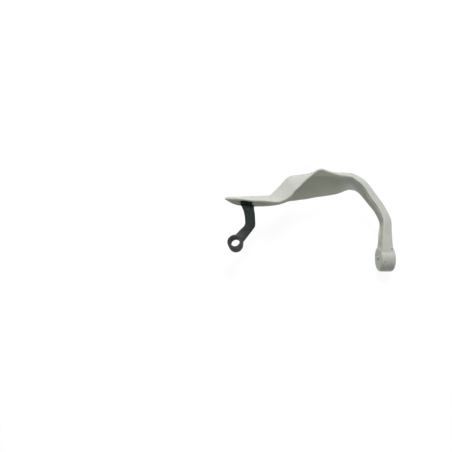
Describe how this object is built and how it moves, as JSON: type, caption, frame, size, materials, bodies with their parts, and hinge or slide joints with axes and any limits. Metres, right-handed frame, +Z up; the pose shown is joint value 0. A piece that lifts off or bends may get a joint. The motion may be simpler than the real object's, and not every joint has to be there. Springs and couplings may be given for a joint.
{
  "type": "motorcycle hand guard",
  "caption": "Moulded motorcycle hand guard: a pointed, hooded shield that sweeps into a curved arm with a round bar-end paddle, carried inboard by a black bracket with a ring eye.",
  "frame": {"origin": "middle of the bracket's eye bore, on its axis", "axes": "+X outboard along the handlebar and the bar-end bolt, +Y forward in the riding direction, +Z up"},
  "size_m": [0.261, 0.1486, 0.0897],
  "materials": {
    "shell": "satin moulded, pale warm grey",
    "bracket": "satin black coat",
    "screws": "black zinc",
    "sleeve": "plain zinc"
  },
  "bodies": {
    "root": {"guard_shell": "shell", "bracket": "bracket", "bracket_screws": "screws", "bar_end_sleeve": "sleeve"}
  },
  "joints": []
}
